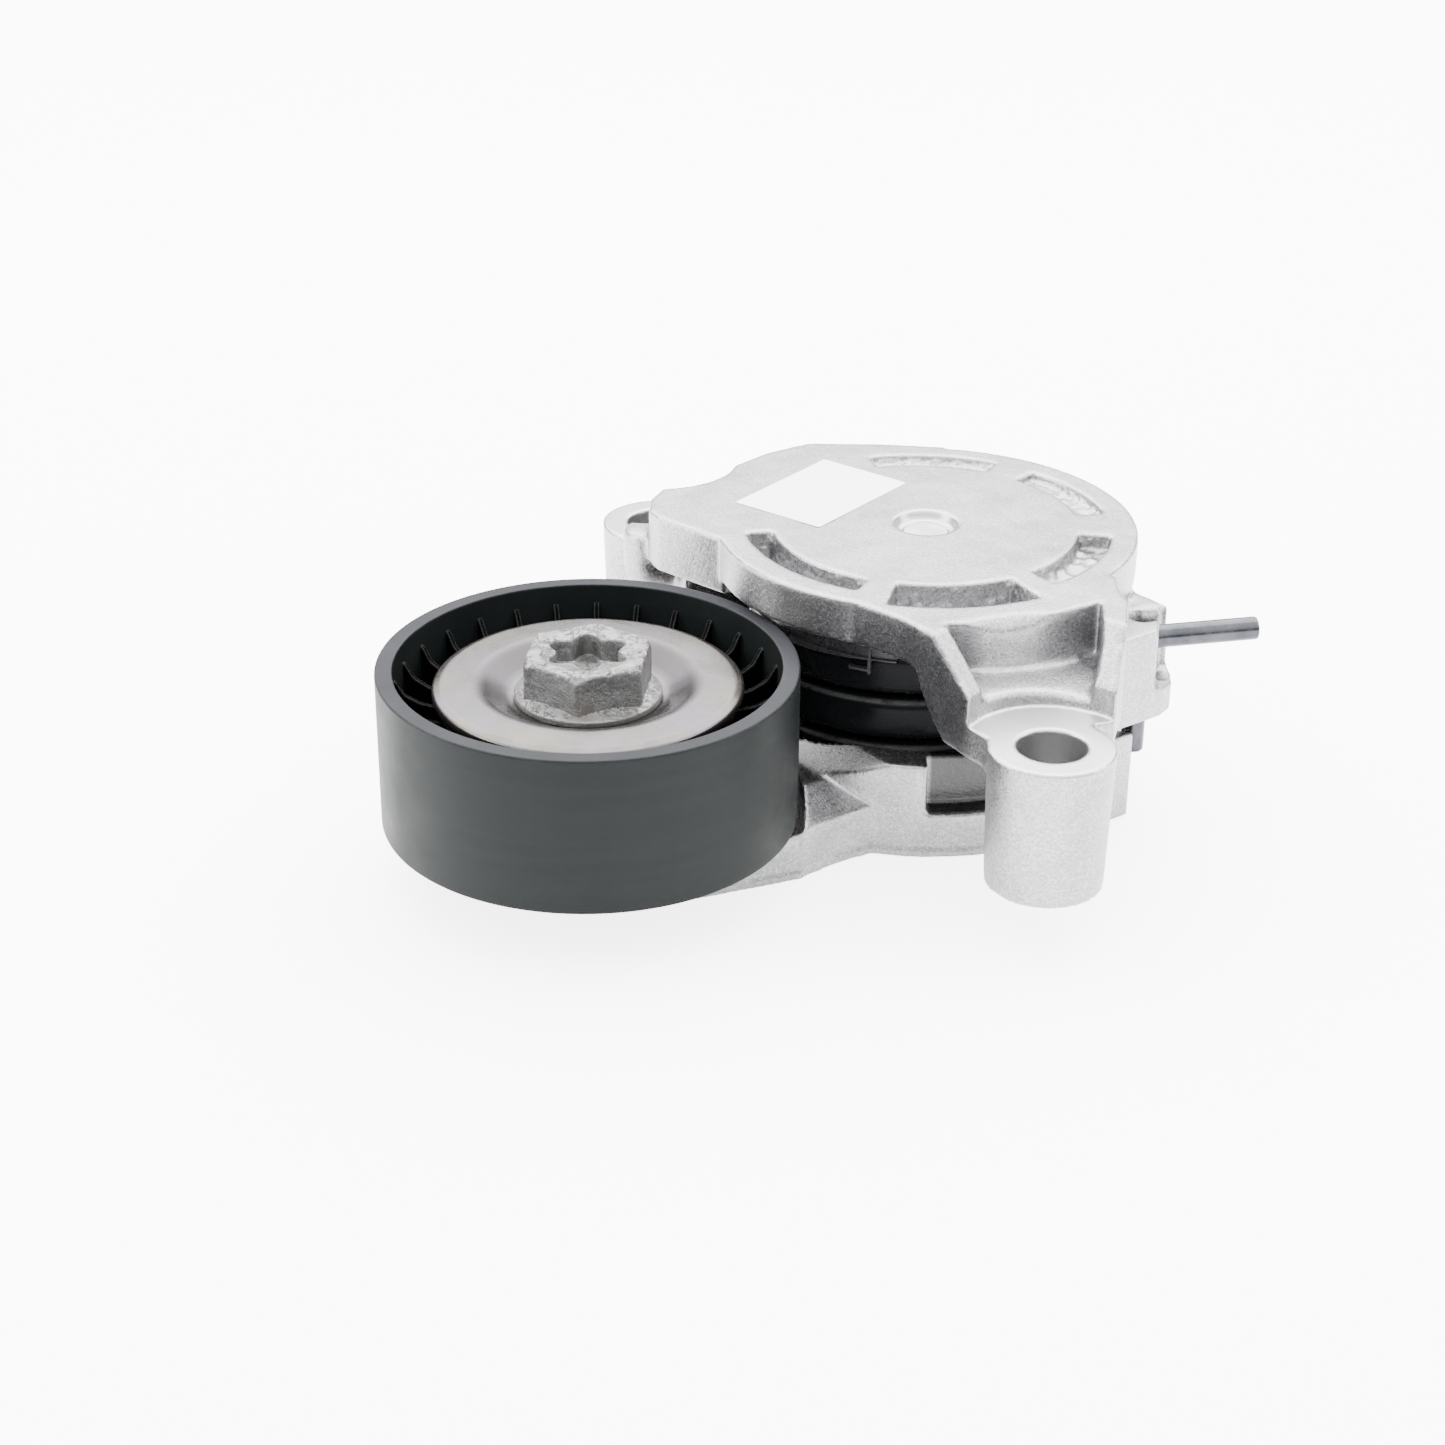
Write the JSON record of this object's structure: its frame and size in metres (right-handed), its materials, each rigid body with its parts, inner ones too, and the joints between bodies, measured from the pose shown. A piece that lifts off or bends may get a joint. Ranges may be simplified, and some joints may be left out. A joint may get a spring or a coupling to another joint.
{
  "type": "belt tensioner",
  "caption": "Sprung belt tensioner: die-cast housing with two bolt bosses, a swing arm on a coil spring, a smooth idler pulley with bolt and dust cap, and an L-shaped locking pin.",
  "frame": {"origin": "midpoint between the two mounting holes, on the mounting plane (the feet of the bosses)", "axes": "+Z away from the engine, along the bolts, the pivot and the pulley axis; +Y from the front mounting hole to the rear one; the arm points along -X at rest"},
  "size_m": [0.135, 0.1232, 0.0431],
  "materials": {
    "cast_aluminium": "die-cast, fine grain, shot-blasted",
    "machined_steel": "turned, light oil",
    "zinc_plated_steel": "zinc plated, scuffed",
    "stamped_steel": "passivated sheet, satin",
    "pin_steel": "drawn bar, dark",
    "spring_steel": "gloss black coating",
    "bearing_steel": "ground",
    "pulley_plastic": "glass-filled nylon, dark grey",
    "black_plastic": "moulded",
    "cage_plastic": "moulded nylon",
    "seal_rubber": "moulded nitrile",
    "bronze": "sintered bush",
    "friction_plastic": "friction material",
    "paper_label": "matt paper label, blank"
  },
  "bodies": {
    "housing": {"housing": "cast_aluminium", "pivot_shaft": "machined_steel", "spring_guide": "black_plastic", "barcode_label": "paper_label", "torsion_spring": "spring_steel"},
    "arm": {"tensioner_arm": "cast_aluminium", "upper_bush": "bronze", "lower_bush": "bronze", "friction_disc": "friction_plastic", "thrust_washer": "machined_steel", "bearing_inner_ring": "bearing_steel", "pulley_spacer": "machined_steel", "dust_shield": "stamped_steel", "rear_shield": "stamped_steel", "pulley_bolt": "zinc_plated_steel"},
    "pulley": {"pulley": "pulley_plastic", "bearing_outer_ring": "bearing_steel", "bearing_front_seal": "seal_rubber", "bearing_rear_seal": "seal_rubber"},
    "cage": {"bearing_balls": "bearing_steel", "bearing_cage": "cage_plastic"},
    "lock_pin": {"locking_pin": "pin_steel"}
  },
  "joints": [
    {"name": "arm_swing", "type": "hinge", "parent": "housing", "child": "arm", "pos_m": [0.0205, 0.0038, 0.01], "axis": [0, 0, 1], "range_deg": [0, 24], "deforming": ["torsion_spring"]},
    {"name": "pulley_spin", "type": "hinge", "parent": "arm", "child": "pulley", "pos_m": [-0.0452, 0.0038, 0.0138], "axis": [0, 0, 1], "continuous": true},
    {"name": "cage_spin", "type": "hinge", "parent": "arm", "child": "cage", "pos_m": [-0.0452, 0.0038, 0.0138], "axis": [0, 0, 1], "continuous": true},
    {"name": "lock_pin_pull", "type": "slide", "parent": "housing", "child": "lock_pin", "axis": [0, 0, 1], "range_m": [0, 0.0505]}
  ],
  "couplings": [
    {"joint": "cage_spin", "follows": "pulley_spin", "ratio": 0.618},
    {"joint": "lock_pin_pull", "follows": "arm_swing", "m_per_rad": 0.12}
  ]
}
